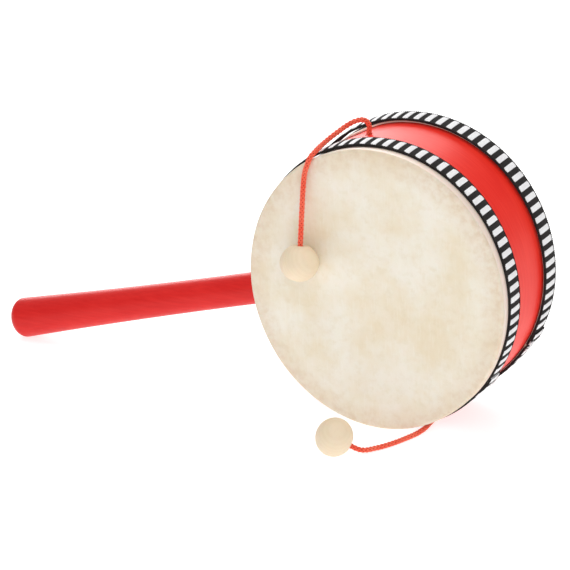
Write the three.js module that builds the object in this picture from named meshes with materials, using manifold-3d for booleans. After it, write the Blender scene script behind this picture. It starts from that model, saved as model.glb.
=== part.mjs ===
// Rattle drum on a handle, millimetres, +Z up. The drum stands on the braid round its two rims, its axis lies
// along Y with the front head facing -Y, and the handle runs down towards -X until its butt meets the ground.
// The origin is on the ground, under the middle of the drum and handle together.
import * as THREE from "three";
import { mergeVertices } from "three/addons/utils/BufferGeometryUtils.js";
import Module from "manifold-3d";

// Drum
const AXIS_HEIGHT = 77.9;
const OVALITY = 0.026;
const SHELL_OUTER_R = 73.2;
const SHELL_INNER_R = 67.2;
const SHELL_FRONT_Y = -36.0;
const SHELL_BACK_Y = 30.0;
const FIT_GAP = 0.3;
const SKIN_FACE_THICKNESS = 1.2;
const SKIN_LAP_THICKNESS = 0.8;
const LAP_END_Y = 17.5;

// Front shoulder, where the skin turns from the face to the side
const FRONT_SHOULDER_R = 75.4;
const FRONT_SHOULDER_Y = -35.5;
const FRONT_ROUNDING = 2.0;
const FRONT_LAP_START_Y = -29.2;

// Back shoulder, a short rolled edge behind the braid
const BACK_SHOULDER_R = 74.6;
const BACK_ROUNDING = 1.7;
const BACK_LAP_START_Y = 29.6;
const BACK_EDGE_CHAMFER_R = 0.7;
const BACK_EDGE_CHAMFER_Y = 1.1;

// Braid round each lap, the widest part of the drum and what it stands on
const TAPE_INNER_R = 74.6;
const TAPE_OUTER_R = 76.0;
const FRONT_TAPE_Y = [-28.9, -16.4];
const BACK_TAPE_Y = [15.9, 28.4];

// Handle, measured from the drum's centre along the stick
const HANDLE_START = 66.2;
const HANDLE_BUTT = 250;
const HANDLE_NECK_R = 8.8;
const HANDLE_NECK_AT = 75;
const HANDLE_MID_R = 9.2;
const HANDLE_BUTT_R = 11.2;
const HANDLE_DOME = 7;
const HANDLE_HOLE_R = 9.35;
const HANDLE_SINK = 0.42;

// Cords and beads
const CORD_R = 1.4;
const CORD_HOLE_R = 2.1;
const CORD_STEP = 3.2;
const CORD_SIDES = 8;
const BEAD_R = 10.3;
const BEAD_HOLE_R = 2.0;
const BEAD_HOLE_FLOOR = 2.4;
const UPPER_CORD_ABOVE_BEAD = [26, 14, 3.2];
const LOWER_CORD_BEFORE_BEAD = [15.5, 3.2];
const UPPER_EXIT_ANGLE = 105.4;
const LOWER_EXIT_ANGLE = 285.4;
const UPPER_BEAD_CENTRE = new THREE.Vector3(-37.5, -48.1, 92.3);
const LOWER_BEAD_CENTRE = new THREE.Vector3(-5.7, -75.0, 10.2);
const UPPER_BEAD_HOLE_DIR = new THREE.Vector3(-0.034, 0.225, 0.974).normalize();
const LOWER_BEAD_HOLE_DIR = new THREE.Vector3(0.77, 0.4, -0.49).normalize();

// Facets
const DRUM_SEGMENTS = 60;
const HANDLE_SEGMENTS = 28;
const HANDLE_RINGS = 12;
const DOME_RINGS = 4;
const ARC_STEPS = 3;
const HOLE_SEGMENTS = 32;
const BEAD_WIDTH_SEGMENTS = 24;
const BEAD_HEIGHT_SEGMENTS = 16;

const UP = new THREE.Vector3(0, 1, 0);
const BLOCK_SIZE = 800;
const WALL_DRILL_LENGTH = 24;
const WELD_DISTANCE = 1e-4;

const wasm = await Module();
wasm.setup();

// A closed geometry as a solid. Triangles that shrink to nothing on a lathe's axis are left out.
function toSolid(geometry) {
  const bare = geometry.clone();
  bare.deleteAttribute("normal");
  bare.deleteAttribute("uv");
  const merged = mergeVertices(bare, WELD_DISTANCE);
  const corners = merged.index.array;
  const kept = [];
  for (let i = 0; i < corners.length; i += 3) {
    const [a, b, c] = [corners[i], corners[i + 1], corners[i + 2]];
    if (a !== b && b !== c && c !== a) {
      kept.push(a, b, c);
    }
  }
  const mesh = new wasm.Mesh({
    numProp: 3,
    vertProperties: new Float32Array(merged.attributes.position.array),
    triVerts: new Uint32Array(kept),
  });
  return new wasm.Manifold(mesh);
}

function toGeometry(solid) {
  const mesh = solid.getMesh();
  const geometry = new THREE.BufferGeometry();
  geometry.setAttribute("position", new THREE.BufferAttribute(new Float32Array(mesh.vertProperties), 3));
  geometry.setIndex(new THREE.BufferAttribute(new Uint32Array(mesh.triVerts), 1));
  geometry.computeVertexNormals();
  return geometry;
}

function cut(geometry, tools) {
  let solid = toSolid(geometry);
  for (const tool of tools) {
    solid = solid.subtract(toSolid(tool));
  }
  return toGeometry(solid);
}

// The ground as a block, in the frame of a piece that will be placed by the given matrix.
function groundFor(placement) {
  const block = new THREE.BoxGeometry(BLOCK_SIZE, BLOCK_SIZE, BLOCK_SIZE);
  block.translate(0, 0, -BLOCK_SIZE / 2);
  return block.applyMatrix4(placement.clone().invert());
}

// The drum is slightly taller than it is wide: every radius follows this factor.
function ovalFactor(angle) {
  return 1 - OVALITY * Math.cos(2 * angle);
}

function ovalise(geometry) {
  const position = geometry.attributes.position;
  for (let i = 0; i < position.count; i += 1) {
    const x = position.getX(i);
    const z = position.getZ(i);
    const factor = ovalFactor(Math.atan2(z, x));
    position.setX(i, x * factor);
    position.setZ(i, z * factor);
  }
  return geometry;
}

// A point by its depth, its radius before the oval, and its angle in degrees from +X towards +Z.
function drumPoint(y, radius, degrees) {
  const angle = THREE.MathUtils.degToRad(degrees);
  const reach = radius * ovalFactor(angle);
  return new THREE.Vector3(reach * Math.cos(angle), y, AXIS_HEIGHT + reach * Math.sin(angle));
}

function lathe(profile, segments) {
  const points = profile.map(([radius, y]) => new THREE.Vector2(radius, y));
  return new THREE.LatheGeometry(points, segments);
}

// Points of a quarter turn from the face (start) to the side, about a centre given by radius and depth.
function shoulderArc(centreR, centreY, radius, towards) {
  const points = [];
  for (let i = 0; i <= ARC_STEPS; i += 1) {
    const turn = (Math.PI / 2) * (i / ARC_STEPS);
    points.push([centreR + radius * Math.sin(turn), centreY + towards * radius * Math.cos(turn)]);
  }
  return points;
}

function drillAlong(direction, from, to, radius) {
  const drill = new THREE.CylinderGeometry(radius, radius, to - from, HOLE_SEGMENTS);
  drill.translate(0, (from + to) / 2, 0);
  return drill.applyQuaternion(new THREE.Quaternion().setFromUnitVectors(UP, direction));
}

function paint(name, color, roughness) {
  return new THREE.MeshStandardMaterial({ name, color, roughness, metalness: 0 });
}

function addMesh(parent, name, geometry, material) {
  const mesh = new THREE.Mesh(geometry, material);
  mesh.name = name;
  parent.add(mesh);
  return mesh;
}

const frontArcR = FRONT_SHOULDER_R - FRONT_ROUNDING;
const frontFaceY = FRONT_SHOULDER_Y - FRONT_ROUNDING;
const backArcR = BACK_SHOULDER_R - BACK_ROUNDING;
const backFaceY = SHELL_BACK_Y + FIT_GAP + SKIN_FACE_THICKNESS;
const backArcY = backFaceY - BACK_ROUNDING;
const lapInnerR = SHELL_OUTER_R + FIT_GAP;
const lapOuterR = lapInnerR + SKIN_LAP_THICKNESS;
const innerArc = FRONT_ROUNDING - SKIN_FACE_THICKNESS;
const shellArc = innerArc - FIT_GAP;

// The handle leans down until the low side of its butt meets the ground.
const handleLean = Math.asin((AXIS_HEIGHT - HANDLE_BUTT_R + HANDLE_SINK) / HANDLE_BUTT);
const handleDir = new THREE.Vector3(-Math.cos(handleLean), 0, -Math.sin(handleLean));

function handleRadius(along) {
  const middle = (HANDLE_NECK_AT + HANDLE_BUTT) / 2;
  const t = (along - middle) / (HANDLE_BUTT - middle);
  const bow = (HANDLE_NECK_R + HANDLE_BUTT_R) / 2 - HANDLE_MID_R;
  return HANDLE_MID_R + ((HANDLE_BUTT_R - HANDLE_NECK_R) / 2) * t + bow * t * t;
}

// Shell: a hoop whose front end flares a little to fill the skin's shoulder.
function shellGeometry() {
  const profile = [
    [SHELL_INNER_R, SHELL_FRONT_Y],
    ...shoulderArc(frontArcR, FRONT_SHOULDER_Y, shellArc, -1),
    [SHELL_OUTER_R, FRONT_LAP_START_Y],
    [SHELL_OUTER_R, SHELL_BACK_Y - BACK_EDGE_CHAMFER_Y],
    [SHELL_OUTER_R - BACK_EDGE_CHAMFER_R, SHELL_BACK_Y],
    [SHELL_INNER_R, SHELL_BACK_Y],
    [SHELL_INNER_R, SHELL_FRONT_Y],
  ];
  const hoop = ovalise(lathe(profile, DRUM_SEGMENTS));
  const drillFrom = SHELL_INNER_R - WALL_DRILL_LENGTH / 2;
  const drillTo = drillFrom + WALL_DRILL_LENGTH;
  const holes = [drillAlong(handleDir, drillFrom, drillTo, HANDLE_HOLE_R)];
  for (const degrees of [UPPER_EXIT_ANGLE, LOWER_EXIT_ANGLE]) {
    const angle = THREE.MathUtils.degToRad(degrees);
    const outward = new THREE.Vector3(Math.cos(angle), 0, Math.sin(angle));
    holes.push(drillAlong(outward, drillFrom, drillTo, CORD_HOLE_R));
  }
  return cut(hoop, holes);
}

// Head: a flat face, a rounded shoulder and a thinner lap down the side of the hoop.
function frontHeadGeometry() {
  const profile = [
    [0, frontFaceY],
    ...shoulderArc(frontArcR, FRONT_SHOULDER_Y, FRONT_ROUNDING, -1),
    [lapOuterR, FRONT_LAP_START_Y],
    [lapOuterR, -LAP_END_Y],
    [lapInnerR, -LAP_END_Y],
    [lapInnerR, FRONT_LAP_START_Y],
    ...shoulderArc(frontArcR, FRONT_SHOULDER_Y, innerArc, -1).reverse(),
    [0, frontFaceY + SKIN_FACE_THICKNESS],
  ];
  return ovalise(lathe(profile, DRUM_SEGMENTS));
}

function backHeadGeometry() {
  const profile = [
    [0, backFaceY - SKIN_FACE_THICKNESS],
    [lapInnerR - BACK_EDGE_CHAMFER_R, backFaceY - SKIN_FACE_THICKNESS],
    [lapInnerR, backFaceY - SKIN_FACE_THICKNESS - BACK_EDGE_CHAMFER_Y],
    [lapInnerR, LAP_END_Y],
    [lapOuterR, LAP_END_Y],
    [lapOuterR, BACK_LAP_START_Y],
    ...shoulderArc(backArcR, backArcY, BACK_ROUNDING, 1).reverse(),
    [0, backFaceY],
  ];
  return ovalise(lathe(profile, DRUM_SEGMENTS));
}

// Braid: a plain ring, pressed flat where it meets the ground.
function tapeGeometry([fromY, toY], placement) {
  const profile = [
    [TAPE_INNER_R, fromY],
    [TAPE_OUTER_R, fromY],
    [TAPE_OUTER_R, toY],
    [TAPE_INNER_R, toY],
    [TAPE_INNER_R, fromY],
  ];
  return cut(ovalise(lathe(profile, DRUM_SEGMENTS)), [groundFor(placement)]);
}

// Handle: a turned stick that thickens towards a domed butt.
function handleGeometry(placement) {
  const profile = [[0, HANDLE_START]];
  for (let i = 0; i <= HANDLE_RINGS; i += 1) {
    const along = HANDLE_START + ((HANDLE_BUTT - HANDLE_START) * i) / HANDLE_RINGS;
    profile.push([handleRadius(along), along]);
  }
  for (let i = 1; i < DOME_RINGS; i += 1) {
    const turn = (Math.PI / 2) * (i / DOME_RINGS);
    profile.push([HANDLE_BUTT_R * Math.cos(turn), HANDLE_BUTT + HANDLE_DOME * Math.sin(turn)]);
  }
  profile.push([0, HANDLE_BUTT + HANDLE_DOME]);
  return cut(lathe(profile, HANDLE_SEGMENTS), [groundFor(placement)]);
}

// Bead: a ball with a blind hole along its own +Y.
function beadGeometry(placement) {
  const ball = new THREE.SphereGeometry(BEAD_R, BEAD_WIDTH_SEGMENTS, BEAD_HEIGHT_SEGMENTS);
  const hole = drillAlong(UP, BEAD_HOLE_FLOOR, BEAD_R * 2, BEAD_HOLE_R);
  return cut(ball, [hole, groundFor(placement)]);
}

function cordGeometry(points) {
  const path = new THREE.CatmullRomCurve3(points, false, "centripetal");
  const section = new THREE.Shape();
  for (let i = 0; i < CORD_SIDES; i += 1) {
    const turn = (2 * Math.PI * i) / CORD_SIDES;
    const [x, y] = [CORD_R * Math.cos(turn), CORD_R * Math.sin(turn)];
    if (i === 0) {
      section.moveTo(x, y);
    } else {
      section.lineTo(x, y);
    }
  }
  section.closePath();
  const steps = Math.round(path.getLength() / CORD_STEP);
  return new THREE.ExtrudeGeometry(section, { steps, bevelEnabled: false, extrudePath: path });
}

// Upper cord: out of its hole, over the top of the braid in a free arc, round the front shoulder, then
// straight down in front of the face to its bead. Each row is depth, radius before the oval and angle.
const upperRoute = [
  [0, 69.0, UPPER_EXIT_ANGLE],
  [0, 71.0, UPPER_EXIT_ANGLE],
  [0, 73.4, 105.3],
  [0.1, 76.5, 104.5],
  [-0.7, 78.8, 104.1],
  [-2.2, 80.9, 104.3],
  [-4.5, 82.3, 105.0],
  [-8.5, 82.8, 106.8],
  [-12, 82.0, 109.3],
  [-16, 81.1, 111.1],
  [-20, 80.0, 113.5],
  [-26, 78.9, 115.1],
  [-33, 78.0, 115.4],
  [-37.8, 76.4, 116.8],
  [-39.6, 73.8, 118.6],
  [-39.8, 70, 122],
];
const upperPoints = upperRoute.map(([y, radius, degrees]) => drumPoint(y, radius, degrees));
for (const above of UPPER_CORD_ABOVE_BEAD) {
  upperPoints.push(UPPER_BEAD_CENTRE.clone().addScaledVector(UPPER_BEAD_HOLE_DIR, above));
}

// Lower cord: out of its hole, at once along the ground, under the front shoulder where there is room for
// it, and round to its bead.
const lowerPoints = [
  drumPoint(0, 69.0, LOWER_EXIT_ANGLE),
  drumPoint(0, 71.0, LOWER_EXIT_ANGLE),
  drumPoint(0, 73.4, LOWER_EXIT_ANGLE),
  new THREE.Vector3(20.9, -1.0, 3.0),
  new THREE.Vector3(21.5, -4.4, 1.55),
  new THREE.Vector3(22.4, -12, 1.5),
  new THREE.Vector3(23.2, -22, 1.5),
  new THREE.Vector3(23.6, -30, 1.5),
  new THREE.Vector3(22.6, -37, 1.5),
  new THREE.Vector3(20.6, -43, 1.5),
  new THREE.Vector3(18.2, -49.2, 1.5),
  new THREE.Vector3(15.4, -55.2, 1.5),
  new THREE.Vector3(11.6, -61.2, 1.5),
];
for (const beyond of LOWER_CORD_BEFORE_BEAD) {
  lowerPoints.push(LOWER_BEAD_CENTRE.clone().addScaledVector(LOWER_BEAD_HOLE_DIR, beyond));
}

const rattleDrum = new THREE.Group();
const drum = new THREE.Group();
drum.position.z = AXIS_HEIGHT;
rattleDrum.add(drum);
drum.updateMatrix();

addMesh(drum, "shell", shellGeometry(), paint("shell_red", "#e23a2c", 0.42));
addMesh(drum, "front_head", frontHeadGeometry(), paint("front_skin", "#ebe2d0", 0.6));
addMesh(drum, "back_head", backHeadGeometry(), paint("back_skin", "#ebe2d0", 0.6));
addMesh(drum, "front_tape", tapeGeometry(FRONT_TAPE_Y, drum.matrix), paint("front_braid", "#8f8b8b", 0.9));
addMesh(drum, "back_tape", tapeGeometry(BACK_TAPE_Y, drum.matrix), paint("back_braid", "#8f8b8b", 0.9));

const stick = new THREE.Group();
stick.quaternion.setFromUnitVectors(UP, handleDir);
drum.add(stick);
stick.updateMatrix();
const stickPlacement = drum.matrix.clone().multiply(stick.matrix);
addMesh(stick, "handle", handleGeometry(stickPlacement), paint("handle_red", "#d82a28", 0.4));

// The drum and its handle are centred over the origin, before the loose cords and beads are added.
rattleDrum.updateMatrixWorld(true);
const middle = new THREE.Box3().setFromObject(rattleDrum, true).getCenter(new THREE.Vector3());
rattleDrum.position.set(-middle.x, -middle.y, 0);

function addBead(name, centre, holeDir, material) {
  const placement = new THREE.Group();
  placement.position.copy(centre);
  placement.quaternion.setFromUnitVectors(UP, holeDir);
  placement.updateMatrix();
  rattleDrum.add(placement);
  addMesh(placement, name, beadGeometry(placement.matrix), material);
}

addMesh(rattleDrum, "cord_upper", cordGeometry(upperPoints), paint("upper_cord_red", "#ef5840", 0.85));
addMesh(rattleDrum, "cord_lower", cordGeometry(lowerPoints), paint("lower_cord_red", "#ef5840", 0.85));
addBead("bead_upper", UPPER_BEAD_CENTRE, UPPER_BEAD_HOLE_DIR, paint("upper_bead_wood", "#ebd5bc", 0.55));
addBead("bead_lower", LOWER_BEAD_CENTRE, LOWER_BEAD_HOLE_DIR, paint("lower_bead_wood", "#ebd5bc", 0.55));

export default rattleDrum;
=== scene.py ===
# %% [markdown]
# # A rattle drum, piece by piece
# A rattle drum is twirled by its handle so that two beads on cords swing in and strike its skins. It is a small
# thing made of many crafts: a bent hoop, stretched rawhide, woven trimming, a turned stick, braided cord and
# turned beads. Each has its own cell here. The imported model already fixes every size and place, so the first
# cell only loads it.

# %% Load the imported model
import math
import bmesh
import bpy
from mathutils import Matrix, Vector, noise


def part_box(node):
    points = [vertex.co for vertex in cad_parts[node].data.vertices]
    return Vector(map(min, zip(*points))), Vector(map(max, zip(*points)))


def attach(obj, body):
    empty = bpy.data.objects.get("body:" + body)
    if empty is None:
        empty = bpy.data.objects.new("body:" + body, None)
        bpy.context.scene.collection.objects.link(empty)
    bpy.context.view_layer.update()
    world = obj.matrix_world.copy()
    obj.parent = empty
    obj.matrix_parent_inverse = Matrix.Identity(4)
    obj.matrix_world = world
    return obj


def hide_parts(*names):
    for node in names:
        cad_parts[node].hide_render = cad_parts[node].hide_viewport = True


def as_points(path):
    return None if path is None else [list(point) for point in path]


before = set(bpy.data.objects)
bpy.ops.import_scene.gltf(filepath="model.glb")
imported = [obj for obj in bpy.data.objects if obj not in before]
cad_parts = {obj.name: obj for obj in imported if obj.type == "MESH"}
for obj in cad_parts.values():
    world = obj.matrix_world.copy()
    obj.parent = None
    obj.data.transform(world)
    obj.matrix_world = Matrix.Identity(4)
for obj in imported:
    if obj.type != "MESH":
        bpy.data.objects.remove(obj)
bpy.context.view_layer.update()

MM = 0.001

# %% [markdown]
# ## Where the drum is
# The hoop isn't quite round. A skin that dries on a thin wooden hoop pulls it a little, and this one stands a
# few millimetres taller than it is wide. One function holds that rule, and every piece on the rim uses it, so
# they all stay the same distance apart. A point on the drum is given by its radius, its depth along the axis
# and its angle, counted from the right-hand side towards the top.

# %% The drum's own coordinates
OVALITY = 0.026
HOOP_FRONT_TO_HOLES = 36.0 * MM
hoop_low, hoop_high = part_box("shell")
DRUM_CENTRE = (hoop_low + hoop_high) / 2
DRUM_CENTRE.y = hoop_low.y + HOOP_FRONT_TO_HOLES


def oval(angle):
    """How far the rim lies from a true circle at this angle."""
    return 1 - OVALITY * math.cos(2 * angle)


def on_drum(radius, depth, angle):
    """A point in metres from a radius and a depth in millimetres and an angle in radians."""
    reach = radius * oval(angle) * MM
    return DRUM_CENTRE + Vector((reach * math.cos(angle), depth * MM, reach * math.sin(angle)))


def swelling(angle, middle, width):
    """1 at one place on the rim, fading to 0 on both sides of it. Middle and width are in degrees."""
    return math.exp(-(math.remainder(angle - math.radians(middle), math.tau) / math.radians(width)) ** 2)


print("drum centre, mm:", [round(value / MM, 2) for value in DRUM_CENTRE])

# %% [markdown]
# ## The camera
# A long lens far away keeps a round drum looking round. The camera looks down from the drum's right-hand front,
# and it is rolled by two degrees, as a hand-held one is. Its turn is built from three plain rotations: round the
# upright axis, up from straight down, and round its own line of sight.

# %% Camera
CAMERA_FROM_DRUM = Vector((724.66, -1452.20, 632.83)) * MM
CAMERA_AZIMUTH = 28.776
CAMERA_ELEVATION = 21.535
CAMERA_ROLL = -1.936
LENS_MM = 208.42

camera_data = bpy.data.cameras.new("camera")
camera_data.lens = LENS_MM
camera_data.sensor_width = 36
camera_data.clip_end = 20
camera = bpy.data.objects.new("camera", camera_data)
camera.matrix_world = (
    Matrix.Translation(DRUM_CENTRE + CAMERA_FROM_DRUM)
    @ Matrix.Rotation(math.radians(CAMERA_AZIMUTH), 4, "Z")
    @ Matrix.Rotation(math.radians(90 - CAMERA_ELEVATION), 4, "X")
    @ Matrix.Rotation(math.radians(CAMERA_ROLL), 4, "Z")
)
bpy.context.collection.objects.link(camera)
bpy.context.scene.camera = camera
bpy.context.scene.view_settings.view_transform = "Standard"

# %% [markdown]
# ## Helpers for everything that follows
# Colours are written as the hex values that a paint shop would give, and turned to the linear light that a
# renderer works in. Node trees, for materials and for geometry alike, grow one node at a time through `add`.
# `keep` makes an object from a finished mesh, hides the imported node that it replaces, and lets it ride on the
# drum's one body.

# %% Colour, node and piece helpers
def hex_colour(text):
    """An sRGB hex colour as linear red, green, blue and alpha."""
    channels = [int(text[i:i + 2], 16) / 255 for i in (1, 3, 5)]
    return (*[c / 12.92 if c <= 0.04045 else ((c + 0.055) / 1.055) ** 2.4 for c in channels], 1.0)


def add(tree, kind, settings=None, inputs=None):
    """Adds one node. An input is linked when it is given a socket, and set when it is given a value."""
    node = tree.nodes.new(kind)
    for name, value in (settings or {}).items():
        setattr(node, name, value)
    for key, value in (inputs or {}).items():
        if isinstance(value, bpy.types.NodeSocket):
            tree.links.new(value, node.inputs[key])
        else:
            node.inputs[key].default_value = value
    return node


def keep(mesh, name, node):
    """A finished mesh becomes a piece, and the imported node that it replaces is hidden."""
    piece = bpy.data.objects.new(name, mesh)
    bpy.context.collection.objects.link(piece)
    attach(piece, "root")
    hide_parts(node)
    print(f"{name}: {len(mesh.vertices)} points, {len(mesh.polygons)} faces")
    return piece


def above_table(point):
    """The same point, lifted onto the table when it lies below it: a soft or rounded end is pressed flat there."""
    return Vector((point.x, point.y, max(point.z, 0)))


def smooth(mesh, sharpest=40):
    """Shades a mesh smooth, but keeps every edge that turns by more than this many degrees crisp."""
    shape = bmesh.new()
    shape.from_mesh(mesh)
    bmesh.ops.recalc_face_normals(shape, faces=shape.faces)
    for face in shape.faces:
        face.smooth = True
    for edge in shape.edges:
        edge.smooth = len(edge.link_faces) == 2 and edge.calc_face_angle() < math.radians(sharpest)
    shape.to_mesh(mesh)
    shape.free()
    return mesh


def revolve(name, profile, turns, place):
    """A closed surface of revolution. The profile is a list of (radius, along), on the axis at both ends or
    closed on itself, and place puts a radius, a distance along and an angle into the scene."""
    rings, faces, points = [], [], []
    closed = profile[0] == profile[-1]
    for radius, along in profile[:-1] if closed else profile:
        count = 1 if radius == 0 else turns
        rings.append(range(len(points), len(points) + count))
        points += [place(radius, along, math.tau * step / turns) for step in range(count)]
    pairs = zip(rings, rings[1:] + rings[:1]) if closed else zip(rings, rings[1:])
    for first, second in pairs:
        for step in range(turns):
            after = (step + 1) % turns
            corners = (first[step % len(first)], first[after % len(first)],
                       second[after % len(second)], second[step % len(second)])
            faces.append(tuple(dict.fromkeys(corners)))
    mesh = bpy.data.meshes.new(name)
    mesh.from_pydata(points, [], faces)
    return smooth(mesh)


def arc(radius, centre_r, centre_y, start, end, steps):
    """Points of an arc in a profile. Its angles are in degrees from straight out towards the back."""
    angles = [math.radians(start + (end - start) * i / steps) for i in range(steps + 1)]
    return [(centre_r + radius * math.cos(a), centre_y + radius * math.sin(a)) for a in angles]


# %% [markdown]
# ## Reading a material in millimetres
# A procedural pattern needs a scale, and the honest way to choose one is to ask how big the grain, the thread or
# the brush mark really is. Every material here starts by turning the object's own coordinates into millimetres
# measured from a chosen point, so that a noise scale of 0.5 means one lump every two millimetres.

# %% Start of every material
def start_material(name, centre=DRUM_CENTRE, stretch=(1, 1, 1)):
    """A new material, its tree, its main shader, and coordinates in millimetres from a point."""
    material = bpy.data.materials.new(name)
    material.use_nodes = True
    tree = material.node_tree
    shader = tree.nodes["Principled BSDF"]
    place = add(tree, "ShaderNodeTexCoord").outputs["Object"]
    scale = Vector(stretch) / MM
    shift = [-c * s for c, s in zip(centre, scale)]
    millimetres = add(tree, "ShaderNodeMapping", None, {"Vector": place, "Location": shift, "Scale": scale})
    return material, tree, shader, millimetres.outputs["Vector"]


def blend_colours(tree, amount, first, second):
    """Mixes two colours, each a hex text or a socket."""
    first, second = [hex_colour(c) if isinstance(c, str) else c for c in (first, second)]
    mix = add(tree, "ShaderNodeMix", {"data_type": "RGBA"}, {0: amount, 6: first, 7: second})
    return mix.outputs[2]


def remap(tree, value, low, high, out_low=0.0, out_high=1.0):
    """Stretches a range of values to another one, and holds it there."""
    inputs = {"Value": value, "From Min": low, "From Max": high, "To Min": out_low, "To Max": out_high}
    return add(tree, "ShaderNodeMapRange", {"clamp": True}, inputs).outputs[0]


def speckle(tree, place, scale, detail=3.0, roughness=0.55):
    """Even noise: scale is in lumps per millimetre."""
    inputs = {"Vector": place, "Scale": scale, "Detail": detail, "Roughness": roughness}
    return add(tree, "ShaderNodeTexNoise", None, inputs).outputs[0]


def finish_surface(tree, shader, colour, height, depth, settings):
    """Joins colour and bump to the shader. The height's depth is in millimetres."""
    tree.links.new(colour, shader.inputs["Base Color"])
    bump = add(tree, "ShaderNodeBump", None, {"Height": height, "Distance": depth * MM, "Strength": 1.0})
    tree.links.new(bump.outputs[0], shader.inputs["Normal"])
    for name, value in settings.items():
        shader.inputs[name].default_value = value


# %% [markdown]
# ## Geometry Nodes, set by name
# A geometry tree is a recipe with named inputs, such as a thread's length. A modifier hands its values over by
# each socket's hidden identifier, so this helper looks the identifier up from the name. `grow` runs a recipe on
# a mesh and keeps the plain result, because a finished piece should be a mesh and nothing more.

# %% Recipe helpers
def recipe(name, sizes):
    """A new geometry tree with named inputs: numbers by default, or materials where the value is None."""
    tree = bpy.data.node_groups.new(name, "GeometryNodeTree")
    tree.interface.new_socket("Geometry", in_out="INPUT", socket_type="NodeSocketGeometry")
    tree.interface.new_socket("Geometry", in_out="OUTPUT", socket_type="NodeSocketGeometry")
    for label, value in sizes.items():
        kind = "Material" if value is None else "Int" if isinstance(value, int) else "Float"
        socket = tree.interface.new_socket(label, in_out="INPUT", socket_type="NodeSocket" + kind)
        if value is not None:
            socket.default_value = value
    return tree, add(tree, "NodeGroupInput").outputs, add(tree, "NodeGroupOutput").inputs[0]


def grow(mesh, tree, values):
    """Runs a recipe on a mesh and returns the plain mesh that it makes."""
    seed = bpy.data.objects.new("seed", mesh)
    bpy.context.collection.objects.link(seed)
    modifier = seed.modifiers.new("recipe", "NODES")
    modifier.node_group = tree
    sockets = {item.name: item.identifier for item in tree.interface.items_tree if item.in_out == "INPUT"}
    for label, value in values.items():
        modifier[sockets[label]] = value
    evaluated = seed.evaluated_get(bpy.context.evaluated_depsgraph_get())
    grown = bpy.data.meshes.new_from_object(evaluated)
    bpy.data.objects.remove(seed)
    return grown


def calculate(tree, operation, *values):
    """One Math node on numbers or sockets."""
    return add(tree, "ShaderNodeMath", {"operation": operation}, dict(enumerate(values))).outputs[0]


def scaled_vector(tree, vector, factor):
    """A vector multiplied by a number."""
    inputs = {0: vector, 3: factor}
    return add(tree, "ShaderNodeVectorMath", {"operation": "SCALE"}, inputs).outputs[0]


def polyline(name, points):
    """A mesh of points joined by edges, open at its ends."""
    mesh = bpy.data.meshes.new(name)
    mesh.from_pydata(points, [(i, i + 1) for i in range(len(points) - 1)], [])
    return mesh


# %% [markdown]
# ## The two cords: first the way they run
# Each cord comes out of a hole drilled in the hoop, a quarter turn from the handle. The upper one rises, arcs
# forward over the trimming and hangs down the front skin with its bead. The lower one drops to the table at once,
# passes under the front rim where the curve of the drum leaves room, and lies in a lazy curve. A braid is limp
# but not stretchy, so a cord is first of all a line of fixed length. The line is a centripetal Catmull-Rom curve,
# which passes through every point without the loops that a plain one makes where points crowd together.

# %% Cord routes
UPPER_EXIT, LOWER_EXIT = math.radians(105.4), math.radians(285.4)
BEAD_RADIUS = 10.3
ABOVE_UPPER_BEAD = (26, 14, 3.2)
BEFORE_LOWER_BEAD = (15.5, 3.2)

upper_bead_centre = DRUM_CENTRE + Vector((-37.5, -48.1, 14.4)) * MM
lower_bead_centre = DRUM_CENTRE + Vector((-5.7, -75.0, -67.7)) * MM
upper_bead_hole = Vector((-0.034, 0.225, 0.974)).normalized()
lower_bead_hole = Vector((0.77, 0.4, -0.49)).normalized()

upper_route = [
    (0, 69.0, 105.4), (0, 71.0, 105.4), (0, 73.4, 105.3), (0.1, 76.5, 104.5), (-0.7, 78.8, 104.1),
    (-2.2, 80.9, 104.3), (-4.5, 82.3, 105.0), (-8.5, 82.8, 106.8), (-12, 82.0, 109.3), (-16, 81.1, 111.1),
    (-20, 80.0, 113.5), (-26, 78.9, 115.1), (-33, 78.0, 115.4), (-37.8, 76.4, 116.8), (-39.6, 73.8, 118.6),
    (-39.8, 70, 122),
]
upper_points = [on_drum(radius, depth, math.radians(angle)) for depth, radius, angle in upper_route]
upper_points += [upper_bead_centre + upper_bead_hole * step * MM for step in ABOVE_UPPER_BEAD]

lower_points = [on_drum(radius, 0, LOWER_EXIT) for radius in (69.0, 71.0, 73.4)]
lower_points += [
    DRUM_CENTRE + Vector((x, y, z)) * MM - Vector((0, 0, DRUM_CENTRE.z))
    for x, y, z in (
        (20.9, -1.0, 3.0), (21.5, -4.4, 1.55), (22.4, -12, 1.5), (23.2, -22, 1.5), (23.6, -30, 1.5),
        (22.6, -37, 1.5), (20.6, -43, 1.5), (18.2, -49.2, 1.5), (15.4, -55.2, 1.5), (11.6, -61.2, 1.5),
    )
]
lower_points += [lower_bead_centre + lower_bead_hole * step * MM for step in BEFORE_LOWER_BEAD]


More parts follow.
